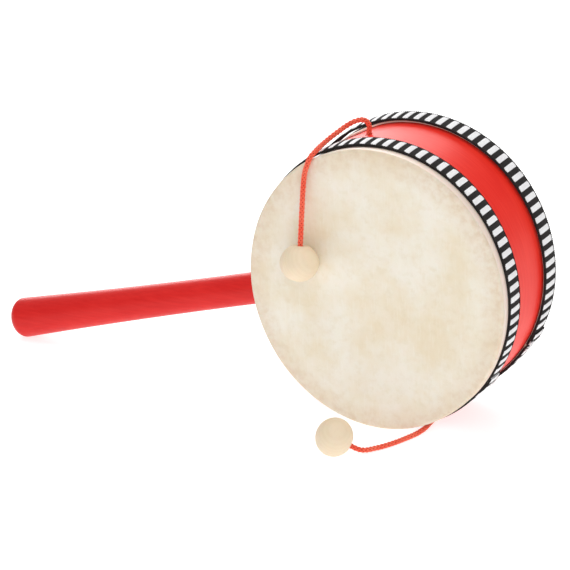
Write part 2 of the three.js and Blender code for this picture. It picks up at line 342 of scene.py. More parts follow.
def centripetal(points, spacing):
    """A centripetal Catmull-Rom curve through the points, as points about this far apart."""
    padded = [2 * points[0] - points[1], *points, 2 * points[-1] - points[-2]]
    line = [points[0].copy()]
    for p0, p1, p2, p3 in zip(padded, padded[1:], padded[2:], padded[3:]):
        t1 = math.sqrt((p1 - p0).length)
        t2 = t1 + math.sqrt((p2 - p1).length)
        t3 = t2 + math.sqrt((p3 - p2).length)
        steps = max(2, round((p2 - p1).length / spacing))
        for step in range(1, steps + 1):
            t = t1 + (t2 - t1) * step / steps
            a1 = p0 * ((t1 - t) / t1) + p1 * (t / t1)
            a2 = p1 * ((t2 - t) / (t2 - t1)) + p2 * ((t - t1) / (t2 - t1))
            a3 = p2 * ((t3 - t) / (t3 - t2)) + p3 * ((t - t2) / (t3 - t2))
            b1 = a1 * ((t2 - t) / t2) + a2 * (t / t2)
            b2 = a2 * ((t3 - t) / (t3 - t1)) + a3 * ((t - t1) / (t3 - t1))
            line.append(b1 * ((t2 - t) / (t2 - t1)) + b2 * ((t - t1) / (t2 - t1)))
    return line


def length_of(line):
    """The length of a row of points, in metres."""
    return sum((b - a).length for a, b in zip(line, line[1:]))


upper_line = centripetal(upper_points, 0.5 * MM)
lower_line = centripetal(lower_points, 0.5 * MM)
print("cord lengths, mm:", round(length_of(upper_line) / MM, 1), round(length_of(lower_line) / MM, 1))

# %% [markdown]
# ## Braiding the cords
# This cord is a round braid: half of its strands wind to the right, half to the left, and each goes over one and
# under one. A bump texture would give the look from afar, but not the scalloped edge that a braid has against a
# pale skin, so the strands are real. Geometry Nodes are made for this. The recipe copies the cord's line once for
# each strand, pushes every copy out to a turning angle round the line, and makes it breathe in and out: where the
# right-hand strands are high the left-hand ones are low. A plain core inside closes the gaps.

# %% Braid recipe
BRAID_STRANDS = 8
BRAID_LAY = 9.0
BRAID_MID_RADIUS = 0.88
BRAID_RISE = 0.24
STRAND_RADIUS = 0.42
BRAID_CORE_RADIUS = 0.98
BRAID_STEP = 0.34


def braid_recipe():
    tree, given, result = recipe("round_braid", {
        "Strands": BRAID_STRANDS, "Lay": BRAID_LAY * MM, "Middle Radius": BRAID_MID_RADIUS * MM,
        "Rise": BRAID_RISE * MM, "Strand Radius": STRAND_RADIUS * MM, "Core Radius": BRAID_CORE_RADIUS * MM,
        "Yarn": None, "Core Yarn": None,
    })
    line = add(tree, "GeometryNodeMeshToCurve", None, {0: given["Geometry"]}).outputs[0]
    line = add(tree, "GeometryNodeResampleCurve", {"mode": "LENGTH"}, {
        "Curve": line, "Length": BRAID_STEP * MM,
    }).outputs[0]
    copies = add(tree, "GeometryNodeDuplicateElements", {"domain": "SPLINE"}, {
        0: line, "Amount": given["Strands"],
    })
    number = copies.outputs["Duplicate Index"]
    along = add(tree, "GeometryNodeSplineParameter").outputs["Length"]
    hand = calculate(tree, "MULTIPLY_ADD", calculate(tree, "MODULO", number, 2.0), 2.0, -1.0)
    half = calculate(tree, "DIVIDE", given["Strands"], 2.0)
    turn = calculate(tree, "MULTIPLY", calculate(tree, "DIVIDE", along, given["Lay"]), math.tau)
    start = calculate(tree, "DIVIDE", calculate(tree, "FLOOR", calculate(tree, "DIVIDE", number, 2.0)), half)
    angle = calculate(tree, "MULTIPLY_ADD", start, math.tau, calculate(tree, "MULTIPLY", turn, hand))
    wave = calculate(tree, "COSINE", calculate(tree, "MULTIPLY", turn, half))
    rise = calculate(tree, "MULTIPLY", calculate(tree, "MULTIPLY", wave, hand), given["Rise"])
    reach = calculate(tree, "ADD", rise, given["Middle Radius"])
    normal = add(tree, "GeometryNodeInputNormal").outputs[0]
    tangent = add(tree, "GeometryNodeInputTangent").outputs[0]
    side = add(tree, "ShaderNodeVectorMath", {"operation": "CROSS_PRODUCT"}, {0: tangent, 1: normal}).outputs[0]
    across = scaled_vector(tree, normal, calculate(tree, "MULTIPLY", calculate(tree, "COSINE", angle), reach))
    up = scaled_vector(tree, side, calculate(tree, "MULTIPLY", calculate(tree, "SINE", angle), reach))
    offset = add(tree, "ShaderNodeVectorMath", {"operation": "ADD"}, {0: across, 1: up}).outputs[0]
    strands = add(tree, "GeometryNodeSetPosition", None, {0: copies.outputs[0], "Offset": offset})
    section = add(tree, "GeometryNodeCurvePrimitiveCircle", None, {
        "Resolution": 7, "Radius": given["Strand Radius"],
    })
    core_section = add(tree, "GeometryNodeCurvePrimitiveCircle", None, {
        "Resolution": 12, "Radius": given["Core Radius"],
    })
    joined = add(tree, "GeometryNodeJoinGeometry")
    for path, profile, yarn in ((strands.outputs[0], section, "Yarn"), (line, core_section, "Core Yarn")):
        tube = add(tree, "GeometryNodeCurveToMesh", None, {
            "Curve": path, "Profile Curve": profile.outputs[0], "Fill Caps": True,
        })
        rounded = add(tree, "GeometryNodeSetShadeSmooth", None, {0: tube.outputs[0]}).outputs[0]
        real = add(tree, "GeometryNodeRealizeInstances", None, {0: rounded}).outputs[0]
        dyed = add(tree, "GeometryNodeSetMaterial", None, {0: real, "Material": given[yarn]}).outputs[0]
        tree.links.new(dyed, joined.inputs[0])
    tree.links.new(joined.outputs[0], result)
    return tree


# %% [markdown]
# ## Red braid yarn
# The cord is spun polyester, dyed a warm orange red. It gives the eye a soft broad shine, lighter where a strand
# turns towards the light, and it darkens in the valleys between strands, where the core's darker red is painted
# shade. Fine fibres are too small to see, so the noise is drawn at a third of a millimetre, just coarse enough to
# break up the shine.

# %% Dyed polyester braid
def dyed_polyester(name, deep, middle, light):
    material, tree, shader, place = start_material(name)
    fibres = speckle(tree, place, 3.0, 2.0)
    patches = speckle(tree, place, 0.12, 2.0)
    colour = blend_colours(tree, remap(tree, fibres, 0.35, 0.65), deep, middle)
    colour = blend_colours(tree, remap(tree, patches, 0.35, 0.7, 0.0, 0.5), colour, light)
    finish_surface(tree, shader, colour, fibres, 0.06, {
        "Roughness": 0.6, "Specular IOR Level": 0.3, "Sheen Weight": 0.2, "Sheen Roughness": 0.4,
    })
    return material


# %% Braid both cords
braid = braid_recipe()
cord_red = dyed_polyester("dyed_polyester_braid", "#F0523A", "#FF6A4C", "#FF8C6E")
# The core's darker red is painted shade: it stands for the shade in the valleys between strands, where the core
# shows.
painted_shade_core_red = dyed_polyester("polyester_core_painted_shade", "#8E2114", "#A92B1B", "#B83422")


def braided_cord(name, line, node):
    mesh = grow(polyline(name, line), braid, {"Yarn": cord_red, "Core Yarn": painted_shade_core_red})
    mesh.name = name
    return keep(mesh, name, node)


upper_cord = braided_cord("upper_cord", upper_line, "cord_upper")
lower_cord = braided_cord("lower_cord", lower_line, "cord_lower")

# %% [markdown]
# ## Turned wooden beads
# The beads are pale hardwood, turned on a small lathe, drilled, and left without varnish. A bead isn't a perfect
# ball: it is a little shorter than it is wide, and the tool leaves its end flat round the hole. A profile spun
# round the hole's own axis gives the flat end, the drilled hole and its softened edge in one go, as a lathe does.

# %% Bead shape
HOLE_RADIUS = 2.0
HOLE_FLOOR = 2.4
BEAD_SQUASH = 0.95
BEAD_FLAT = 66
BEAD_TURNS = 96


def bead_profile():
    """Radius and height along the hole, from the bottom of the bead to the floor of its hole."""
    body = [(0, -BEAD_RADIUS * BEAD_SQUASH)]
    for step in range(1, 49):
        angle = math.radians(-90 + (90 + BEAD_FLAT) * step / 48)
        body.append((BEAD_RADIUS * math.cos(angle), BEAD_RADIUS * BEAD_SQUASH * math.sin(angle)))
    top = body[-1][1]
    end = [(3.5, top + 0.12), (3.0, top + 0.14), (2.4, top + 0.12),
           (HOLE_RADIUS + 0.1, top), (HOLE_RADIUS, top - 0.3)]
    return body + end + [(HOLE_RADIUS, HOLE_FLOOR + 0.4), (0, HOLE_FLOOR)]


def bead_mesh(name, centre, hole):
    turn = hole.to_track_quat("Z", "X")

    def place(radius, along, angle):
        local = Vector((radius * math.cos(angle), radius * math.sin(angle), along)) * MM
        return above_table(centre + turn @ local)

    return revolve(name, bead_profile(), BEAD_TURNS, place)


# %% [markdown]
# ## Unvarnished pale wood
# Pale close-grained wood has a creamy ground, growth rings so faint that they only tint it, and a few tiny darker
# pores. The rings are a wave seen through slight distortion, in straight layers right through the ball, so the
# grain shows as ovals on the sides as it does on a real bead.

# %% Pale turned wood
def pale_wood(name, centre, tilt):
    material, tree, shader, place = start_material(name, centre)
    turned = add(tree, "ShaderNodeMapping", None, {"Vector": place, "Rotation": tilt}).outputs[0]
    rings = add(tree, "ShaderNodeTexWave", {"bands_direction": "X"}, {
        "Vector": turned, "Scale": 0.16, "Distortion": 2.2, "Detail": 2.0, "Detail Scale": 0.35,
    }).outputs["Fac"]
    streaks = add(tree, "ShaderNodeMapping", None, {"Vector": turned, "Scale": (2.6, 2.6, 0.3)}).outputs[0]
    pores = speckle(tree, streaks, 1.0, 4.0, 0.6)
    colour = blend_colours(tree, remap(tree, rings, 0.1, 0.9, 0.0, 0.08), "#ECD9BC", "#D2B48A")
    colour = blend_colours(tree, remap(tree, pores, 0.60, 0.78, 0.0, 0.35), colour, "#C2A078")
    finish_surface(tree, shader, colour, pores, 0.03, {
        "Roughness": 0.5, "Subsurface Weight": 0.12, "Subsurface Scale": 2.0 * MM,
    })
    return material


# %% Place both beads
def bead(name, centre, hole, tilt, node):
    mesh = bead_mesh(name, centre, hole)
    mesh.materials.append(pale_wood(name + "_pale_wood", centre, tilt))
    return keep(mesh, name, node)


UPPER_GRAIN_TILT, LOWER_GRAIN_TILT = (0.2, 0.5, 0.3), (0.9, 0.2, 1.1)
upper_bead = bead("upper_bead", upper_bead_centre, upper_bead_hole, UPPER_GRAIN_TILT, "bead_upper")
lower_bead = bead("lower_bead", lower_bead_centre, lower_bead_hole, LOWER_GRAIN_TILT, "bead_lower")
for cord_piece, line, exit_angle, end_bead, lay in (
    (upper_cord, upper_line, UPPER_EXIT, upper_bead, "hanging"),
    (lower_cord, lower_line, LOWER_EXIT, lower_bead, "loose"),
):
    on_drum(73.2, 0, exit_angle)
    length_of(line)
    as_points(line)

# %% [markdown]
# ## Rawhide heads
# Each head is a wet disc of rawhide, pulled over the hoop and left to dry drum-tight. The face is flat, the
# shoulder rolls over the end of the hoop, and a thin lap runs down the side under the trimming. A skin could be
# one sheet thickened by a modifier, but its two sides differ at the shoulder, so the profile draws both.
# A little slow noise keeps the front shoulder from looking machined, and that shoulder is worn flatter at the lower
# right.

# %% Head profiles
HEAD_TURNS = 288
FACE_THICKNESS = 1.2
HOOP_OUTER = 73.2
LAP_INNER, LAP_OUTER, LAP_END = 73.5, 74.3, 17.5
FRONT_FACE, BACK_FACE = -37.5, 31.5


def spread(start, end, steps):
    """Evenly spaced profile points between two ends, without the last."""
    (r0, y0), (r1, y1) = start, end
    return [(r0 + (r1 - r0) * i / steps, y0 + (y1 - y0) * i / steps) for i in range(steps)]


front_profile = (
    [(0, FRONT_FACE)] + spread((8, FRONT_FACE), (73.4, FRONT_FACE), 16)
    + arc(2.0, 73.4, -35.5, -90, 0, 12)
    + spread((75.4, -35.4), (LAP_OUTER, -29.2), 8)
    + spread((LAP_OUTER, -29.2), (LAP_OUTER, -LAP_END), 6)
    + [(LAP_OUTER, -LAP_END), (LAP_INNER, -LAP_END), (LAP_INNER, -29.2)]
    + arc(0.8, 73.4, -35.5, 0, -90, 6)
    + [(0, FRONT_FACE + FACE_THICKNESS)]
)
back_profile = (
    [(0, BACK_FACE - FACE_THICKNESS), (LAP_INNER - 0.7, BACK_FACE - FACE_THICKNESS), (LAP_INNER, 29.2)]
    + [(LAP_INNER, LAP_END), (LAP_OUTER, LAP_END)]
    + spread((LAP_OUTER, LAP_END + 1), (LAP_OUTER, 29.5), 6)
    + arc(1.7, 72.9, 29.8, 0, 90, 10)
    + spread((72, BACK_FACE), (8, BACK_FACE), 14) + [(0, BACK_FACE)]
)


def skin_point(radius, depth, angle):
    """A point of a head, with the slow unevenness of dried hide and the back lap's tongue near the upper cord."""
    if 0 < depth < LAP_END + 0.01:
        depth -= 8.0 * swelling(angle, 116, 6)
    if depth < -29.3:
        rim = min(1.0, max(0.0, (radius - 66) / 8))
        wander = noise.noise(Vector((3 * math.cos(angle), 3 * math.sin(angle), depth * 0.06)))
        radius += rim * (0.14 * wander - 1.1 * swelling(angle, 308, 26))
    return on_drum(radius, depth, angle)


# %% [markdown]
# ## Rawhide
# Dried, scraped goatskin is a pale cream with cloudy tan and grey patches a few centimetres across, faint fibre
# streaks, and a stained rim. Its side, where it is thinly stretched over the red hoop, is painted a light peach:
# partly the red showing through the thin hide, and partly a painted highlight with painted red reflection from the
# hoop. Its finish is eggshell, not gloss. Slow noise makes the clouds, stretched noise the fibres, and the distance
# from the drum's axis and from the face the rim and the side.

# %% Scraped goatskin
def scraped_goatskin(name, seed_shift, face_depth):
    material, tree, shader, place = start_material(name)
    round_again = (1 / (1 - OVALITY), 0, 1 / (1 + OVALITY))
    flat = add(tree, "ShaderNodeMapping", None, {"Vector": place, "Scale": round_again}).outputs[0]
    radius = add(tree, "ShaderNodeVectorMath", {"operation": "LENGTH"}, {0: flat}).outputs["Value"]
    moved = add(tree, "ShaderNodeMapping", None, {"Vector": place, "Location": seed_shift}).outputs[0]
    clouds = speckle(tree, moved, 0.030, 5.0, 0.6)
    mottle = speckle(tree, moved, 0.22, 6.0, 0.65)
    drawn = add(tree, "ShaderNodeMapping", None, {"Vector": moved, "Scale": (0.9, 0.9, 0.12)}).outputs[0]
    fibres = speckle(tree, drawn, 1.0, 4.0, 0.6)
    colour = blend_colours(tree, remap(tree, clouds, 0.40, 0.64, 0.0, 0.8), "#EEE7D9", "#E6D6B8")
    colour = blend_colours(tree, remap(tree, mottle, 0.50, 0.72, 0.0, 0.30), colour, "#D8C7A4")
    colour = blend_colours(tree, remap(tree, fibres, 0.52, 0.75, 0.0, 0.25), colour, "#F6F0E6")
    edge = remap(tree, radius, 62.0, 73.0)
    stain = calculate(tree, "MULTIPLY", edge, remap(tree, mottle, 0.40, 0.62, 0.35, 0.8))
    colour = blend_colours(tree, stain, colour, "#DCC6AC")
    depth = add(tree, "ShaderNodeSeparateXYZ", None, {0: place}).outputs[1]
    below_face = calculate(tree, "ABSOLUTE", calculate(tree, "SUBTRACT", depth, face_depth))
    # The shoulder's side is painted a light peach: partly the red hoop showing through the thin hide, and partly a
    # painted highlight with painted red reflection from the hoop.
    colour = blend_colours(tree, remap(tree, below_face, 1.6, 2.6, 0.0, 0.9), colour, "#FDE6D8")
    height = calculate(tree, "MULTIPLY_ADD", mottle, 0.6, calculate(tree, "MULTIPLY", fibres, 0.4))
    finish_surface(tree, shader, colour, height, 0.10, {
        "Roughness": 0.55, "Specular IOR Level": 0.4, "Subsurface Weight": 0.10, "Subsurface Scale": 1.5 * MM,
    })
    return material


# %% Stretch both heads
def head(name, profile, shift, face_depth, node):
    mesh = revolve(name, profile, HEAD_TURNS, skin_point)
    mesh.materials.append(scraped_goatskin(name + "_goatskin", shift, face_depth))
    return keep(mesh, name, node)


head("front_skin", front_profile, (12, 5, 33), FRONT_FACE, "front_head")
head("back_skin", back_profile, (-40, 70, -9), BACK_FACE, "back_head")

# %% [markdown]
# ## Woven trimming
# A cotton braid covers the edge of each lap. Short white and black threads run across it in blocks, three
# millimetres of each, and a black twisted edging runs along both sides. It is one strip glued round the rim, so it
# has a start and an end, and the end laps over the start with a few white threads fraying out. The line that the
# strip follows is made first, as a row of points with the angle and the size of the thread at each one. The loose
# threads at the joint are short rows of points of their own, marked as frayed.

# %% The strip's line
THREADS_A_TURN = 760
THREADS_A_BLOCK = 5
OVERLAP_THREADS = 13
THREAD_LIFT = 0.8
STRIP_RADIUS = 75.72
FRAYED_THREADS = 9


def strip_radius(angle):
    """The strip bulges at the upper left and is pressed in at the lower right."""
    return STRIP_RADIUS + 0.8 * swelling(angle, 136, 38) - 0.5 * swelling(angle, 318, 22)


def frayed_thread(number, joint_angle, edge_depth, towards):
    """Points of one loose thread end that curls out over the strip's edge."""
    start = Vector((number * 3.7, joint_angle * 5.0, edge_depth))
    shift = Vector([noise.noise(start + Vector((0, 0, far))) for far in (0.3, 17.3, 41.9)])
    angle = joint_angle + math.radians(0.55 * number - 2.0)
    length = 2.2 + 1.6 * abs(shift.x)
    points = []
    for step in range(6):
        part = step / 5
        depth = edge_depth + towards * (length * part - 1.4)
        lift = 0.7 + 0.5 * math.sin(part * 2.6) - 1.1 * part * part
        splay = math.radians((2.4 * shift.y + shift.z) * part)
        points.append(on_drum(STRIP_RADIUS + lift, depth, angle + splay))
    return points


def strip_line(name, middle_depth, first_white, joint_angle, edge_depth, towards):
    """Points along one strip, with what the recipe needs to know at each."""
    mesh = bpy.data.meshes.new(name)
    count = THREADS_A_TURN + OVERLAP_THREADS
    points, angles, whites, lengths = [], [], [], []
    step_angle = math.tau / THREADS_A_TURN
    for number in range(count):
        angle = joint_angle + number * step_angle
        lift = THREAD_LIFT * min(1.0, max(0.0, (number - THREADS_A_TURN + 6) / 7))
        sway = 0.16 * noise.noise(Vector((4 * math.cos(angle), 4 * math.sin(angle), middle_depth)))
        points.append(on_drum(strip_radius(angle) + lift, middle_depth + sway, angle))
        place = (angle - math.radians(first_white)) / step_angle + THREADS_A_BLOCK / 2
        phase = place % (2 * THREADS_A_BLOCK)
        white = phase < THREADS_A_BLOCK
        across = (phase % THREADS_A_BLOCK + 0.5) / THREADS_A_BLOCK * 2 - 1 if white else 0
        angles.append(angle)
        whites.append(white)
        lengths.append(1 - 0.10 * abs(across) ** 3 + 0.015 * math.sin(number * 2.4))
    edges = [(i, i + 1) for i in range(count - 1)]
    for number in range(FRAYED_THREADS):
        first = len(points)
        points += frayed_thread(number, joint_angle, edge_depth, towards)
        edges += [(i, i + 1) for i in range(first, len(points) - 1)]
    loose = len(points) - count
    mesh.from_pydata(points, edges, [])
    for label, kind, values in (
        ("angle", "FLOAT", angles + [0.0] * loose),
        ("white", "BOOLEAN", whites + [True] * loose),
        ("thread_length", "FLOAT", lengths + [1.0] * loose),
        ("frayed", "BOOLEAN", [False] * count + [True] * loose),
    ):
        mesh.attributes.new(label, kind, "POINT").data.foreach_set("value", values)
    return mesh


# %% [markdown]
# ## Weaving recipe
# The recipe lays one bowed thread across the strip at every point, white or black as the point says, then runs a
# two-ply twisted edging along both sides and a plain black backing underneath. Threads are instances, so the tree
# ends by making them real, and each part gets its own yarn. The black threads lie a little lower than the white.

# %% Trimming recipe
EDGING_STEP = 0.42


def trimming_recipe():
    tree, given, result = recipe("woven_trimming", {
        "Thread Length": 10.5 * MM, "Thread Radius": 0.36 * MM, "Crown": 0.30 * MM, "Edging Offset": 5.7 * MM,
        "Edging Drop": 0.32 * MM, "Ply Radius": 0.27 * MM, "Ply Lay": 2.2 * MM, "Black Drop": 0.14 * MM,
        "Frayed Radius": 0.19 * MM, "Backing Width": 12.3 * MM, "Backing Thickness": 1.0 * MM,
        "Backing Drop": 0.75 * MM, "White Yarn": None, "Black Yarn": None,
    })

    def named(label, kind):
        return add(tree, "GeometryNodeInputNamedAttribute", {"data_type": kind}, {"Name": label}).outputs[0]

    def vector(x, y, z):
        return add(tree, "ShaderNodeCombineXYZ", None, {0: x, 1: y, 2: z}).outputs[0]

    def minus(value):
        return calculate(tree, "MULTIPLY", value, -1.0)

    def dyed(geometry, yarn):
        real = add(tree, "GeometryNodeRealizeInstances", None, {0: geometry}).outputs[0]
        parts.append(add(tree, "GeometryNodeSetMaterial", None, {0: real, "Material": given[yarn]}).outputs[0])

    parts = []
    sorted_out = add(tree, "GeometryNodeSeparateGeometry", {"domain": "POINT"}, {
        0: given["Geometry"], "Selection": named("frayed", "BOOLEAN"),
    })
    ends = add(tree, "GeometryNodeMeshToCurve", None, {0: sorted_out.outputs[0]}).outputs[0]
    row = sorted_out.outputs[1]
    round_section = add(tree, "GeometryNodeCurvePrimitiveCircle", None, {
        "Resolution": 5, "Radius": given["Frayed Radius"],
    })
    dyed(add(tree, "GeometryNodeCurveToMesh", None, {
        "Curve": ends, "Profile Curve": round_section.outputs[0], "Fill Caps": True,
    }).outputs[0], "White Yarn")

    half = calculate(tree, "MULTIPLY", given["Thread Length"], 0.5)
    thread = add(tree, "GeometryNodeCurvePrimitiveLine", None, {
        "Start": vector(0.0, minus(half), 0.0), "End": vector(0.0, half, 0.0),
    }).outputs[0]
    thread = add(tree, "GeometryNodeResampleCurve", {"mode": "COUNT"}, {"Curve": thread, "Count": 9}).outputs[0]
    factor = add(tree, "GeometryNodeSplineParameter").outputs["Factor"]
    centred = calculate(tree, "ABSOLUTE", calculate(tree, "MULTIPLY_ADD", factor, 2.0, -1.0))
    dip = calculate(tree, "MULTIPLY", calculate(tree, "POWER", centred, 4.0), given["Crown"])
    thread = add(tree, "GeometryNodeSetPosition", None, {
        "Geometry": thread, "Offset": vector(minus(dip), 0.0, 0.0),
    })
    section = add(tree, "GeometryNodeCurvePrimitiveCircle", None, {
        "Resolution": 6, "Radius": given["Thread Radius"],
    })
    thread = add(tree, "GeometryNodeCurveToMesh", None, {
        "Curve": thread.outputs[0], "Profile Curve": section.outputs[0], "Fill Caps": True,
    }).outputs[0]
    lowered = add(tree, "GeometryNodeTransform", None, {
        0: thread, "Translation": vector(minus(given["Black Drop"]), 0.0, 0.0),
    }).outputs[0]

    points = add(tree, "GeometryNodeMeshToPoints", None, {0: row}).outputs[0]
    white = named("white", "BOOLEAN")
    black = add(tree, "FunctionNodeBooleanMath", {"operation": "NOT"}, {0: white}).outputs[0]
    angle = named("angle", "FLOAT")
    rotation = add(tree, "FunctionNodeEulerToRotation", None, {0: vector(0.0, minus(angle), 0.0)})
    size = vector(1.0, named("thread_length", "FLOAT"), 1.0)
    for chosen, shape, yarn in ((white, thread, "White Yarn"), (black, lowered, "Black Yarn")):
        dyed(add(tree, "GeometryNodeInstanceOnPoints", None, {
            "Points": points, "Selection": chosen, "Instance": shape,
            "Rotation": rotation.outputs[0], "Scale": size,
        }).outputs[0], yarn)

    line = add(tree, "GeometryNodeMeshToCurve", None, {0: row}).outputs[0]
    forward = add(tree, "GeometryNodeSetCurveNormal", {"mode": "FREE"}, {
        "Curve": line, "Normal": (0, 1, 0),
    }).outputs[0]
    fine = add(tree, "GeometryNodeResampleCurve", {"mode": "LENGTH"}, {
        "Curve": forward, "Length": EDGING_STEP * MM,
    }).outputs[0]
    outward = vector(calculate(tree, "COSINE", angle), 0.0, calculate(tree, "SINE", angle))
    sunk = add(tree, "GeometryNodeSetPosition", None, {
        "Geometry": fine, "Offset": scaled_vector(tree, outward, minus(given["Edging Drop"])),
    }).outputs[0]
    twist = calculate(tree, "DIVIDE", add(tree, "GeometryNodeSplineParameter").outputs["Length"], given["Ply Lay"])
    twisted = add(tree, "GeometryNodeSetCurveTilt", None, {
        "Curve": sunk, "Tilt": calculate(tree, "MULTIPLY", twist, math.tau),
    }).outputs[0]
    ply = add(tree, "GeometryNodeCurvePrimitiveCircle", None, {
        "Resolution": 6, "Radius": given["Ply Radius"],
    }).outputs[0]
    ply_shift = calculate(tree, "MULTIPLY", given["Ply Radius"], 0.8)
    two_ply = add(tree, "GeometryNodeJoinGeometry")
    for sign in (1.0, -1.0):
        moved = add(tree, "GeometryNodeTransform", None, {
            0: ply, "Translation": vector(calculate(tree, "MULTIPLY", ply_shift, sign), 0.0, 0.0),
        })
        tree.links.new(moved.outputs[0], two_ply.inputs[0])
    edging = add(tree, "GeometryNodeCurveToMesh", None, {
        "Curve": twisted, "Profile Curve": two_ply.outputs[0], "Fill Caps": True,
    }).outputs[0]
    for sign in (1.0, -1.0):
        aside = vector(0.0, calculate(tree, "MULTIPLY", given["Edging Offset"], sign), 0.0)
        dyed(add(tree, "GeometryNodeTransform", None, {0: edging, "Translation": aside}).outputs[0], "Black Yarn")

    under = add(tree, "GeometryNodeSetPosition", None, {
        "Geometry": forward, "Offset": scaled_vector(tree, outward, minus(given["Backing Drop"])),
    }).outputs[0]
    backing_section = add(tree, "GeometryNodeCurvePrimitiveQuadrilateral", None, {
        "Width": given["Backing Width"], "Height": given["Backing Thickness"],
    }).outputs[0]
    dyed(add(tree, "GeometryNodeCurveToMesh", None, {
        "Curve": under, "Profile Curve": backing_section, "Fill Caps": True,
    }).outputs[0], "Black Yarn")

    joined = add(tree, "GeometryNodeJoinGeometry")
    for part in parts:
        tree.links.new(part, joined.inputs[0])
    rounded = add(tree, "GeometryNodeSetShadeSmooth", None, {0: joined.outputs[0]})
    tree.links.new(rounded.outputs[0], result)
    return tree


# %% [markdown]
# ## Cotton yarn, white and black
# Cotton is matt, with a soft halo of fibres at its edges, which sheen gives. Neither yarn is pure: the white is
# faintly grey with handling and the black is a warm charcoal. The noise is drawn at half a millimetre, as coarse as
# a thread, because true fibres would vanish at this size.

# %% Cotton yarns
def cotton_yarn(name, dark, light, sheen):
    material, tree, shader, place = start_material(name)
    fibres = speckle(tree, place, 2.0, 3.0)
    soil = speckle(tree, place, 0.08, 3.0)
    amount = calculate(tree, "MULTIPLY_ADD", soil, 0.5, calculate(tree, "MULTIPLY", fibres, 0.5))
    colour = blend_colours(tree, remap(tree, amount, 0.35, 0.62), dark, light)
    finish_surface(tree, shader, colour, fibres, 0.05, {
        "Roughness": 0.9, "Specular IOR Level": 0.2, "Sheen Weight": sheen, "Sheen Roughness": 0.5,
    })
    return material


white_cotton = cotton_yarn("white_cotton_yarn", "#F4F2F4", "#FFFFFF", 0.12)
black_cotton = cotton_yarn("black_cotton_yarn", "#1B1717", "#2E2A29", 0.08)

# %% Weave both strips
trimming = trimming_recipe()
for name, middle, thread_length, edging_offset, first_white, joint, frayed_edge, node, slot in (
    ("front_trimming", -22.75, 10.5, 5.75, 2.5, -40.0, -17.0, "front_tape", "front_braid"),
    ("back_trimming", 22.2, 11.0, 6.1, 0.8, -32.0, 16.4, "back_tape", "back_braid"),
):
    towards = math.copysign(1, frayed_edge - middle)
    line = strip_line(name, middle, first_white, math.radians(joint), frayed_edge, towards)
    strip = grow(line, trimming, {
        "Thread Length": thread_length * MM, "Edging Offset": edging_offset * MM,
        "Backing Width": (2 * edging_offset + 0.6) * MM, "White Yarn": white_cotton, "Black Yarn": black_cotton,
    })
    strip.name = name
    for vertex in strip.vertices:
        vertex.co = above_table(vertex.co)
    keep(strip, name, node)

# %% [markdown]
# ## The hoop
# The hoop is a strip of wood bent into a ring, smoothed and painted. Only the band between the two trimmings
# shows, with a hole for the handle and one for each cord. The ring is spun from a profile and the holes are cut
# with a Boolean modifier, which is then baked into the mesh, so that the edges of the holes are real.

# %% Hoop with its holes
HOOP_TURNS = 288
HOOP_INNER, HOOP_FRONT, HOOP_BACK, HOOP_BACK_BEVEL = 67.2, -36.0, 30.0, 28.9
HANDLE_HOLE_RADIUS, CORD_HOLE_RADIUS = 9.35, 2.1
hoop_profile = (
    [(HOOP_INNER, HOOP_FRONT)] + arc(0.5, 73.4, -35.5, -90, 0, 5) + [(HOOP_OUTER, -29.2)]
    + spread((HOOP_OUTER, -26), (HOOP_OUTER, HOOP_BACK_BEVEL), 24)
    + [(HOOP_OUTER, HOOP_BACK_BEVEL), (72.5, HOOP_BACK), (HOOP_INNER, HOOP_BACK), (HOOP_INNER, HOOP_FRONT)]
)
HANDLE_BUTT, HANDLE_BUTT_RADIUS, HANDLE_SINK = 250, 11.2, 0.42
handle_lean = math.asin((DRUM_CENTRE.z / MM - HANDLE_BUTT_RADIUS + HANDLE_SINK) / HANDLE_BUTT)
handle_line = Vector((-math.cos(handle_lean), 0, -math.sin(handle_lean)))


def drill(direction, radius):
    """A cylinder from inside the hoop to outside it, to be cut away."""
    turn = direction.to_track_quat("Z", "Y")

    def place(r, along, angle):
        return DRUM_CENTRE + turn @ (Vector((r * math.cos(angle), r * math.sin(angle), along)) * MM)

    mesh = revolve("drill", [(0, 55), (radius, 55), (radius, 90), (0, 90)], 64, place)
    tool = bpy.data.objects.new("drill", mesh)
    bpy.context.collection.objects.link(tool)
    return tool


hoop_mesh = revolve("hoop", hoop_profile, HOOP_TURNS, on_drum)
hoop_blank = bpy.data.objects.new("hoop_blank", hoop_mesh)
bpy.context.collection.objects.link(hoop_blank)
drills = [drill(handle_line, HANDLE_HOLE_RADIUS)]
drills += [drill(Vector((math.cos(a), 0, math.sin(a))), CORD_HOLE_RADIUS) for a in (UPPER_EXIT, LOWER_EXIT)]
for tool in drills:
    cutting = hoop_blank.modifiers.new("cut", "BOOLEAN")
    cutting.object = tool
    cutting.solver = "EXACT"
hoop_cut = bpy.data.meshes.new_from_object(hoop_blank.evaluated_get(bpy.context.evaluated_depsgraph_get()))
for leftover in [hoop_blank, *drills]:
    bpy.data.objects.remove(leftover)
smooth(hoop_cut, 30)

# %% [markdown]
# ## Red enamel on wood
# Hoop and handle are brushed with a bright red enamel. It dries to a satin, not a mirror: it shows a broad soft
# highlight, slight waves from the brush, and a darker, thinner coat where the wood's grain drinks it. The brush
# ran round the hoop and along the handle, so the streaks are stretched that way.

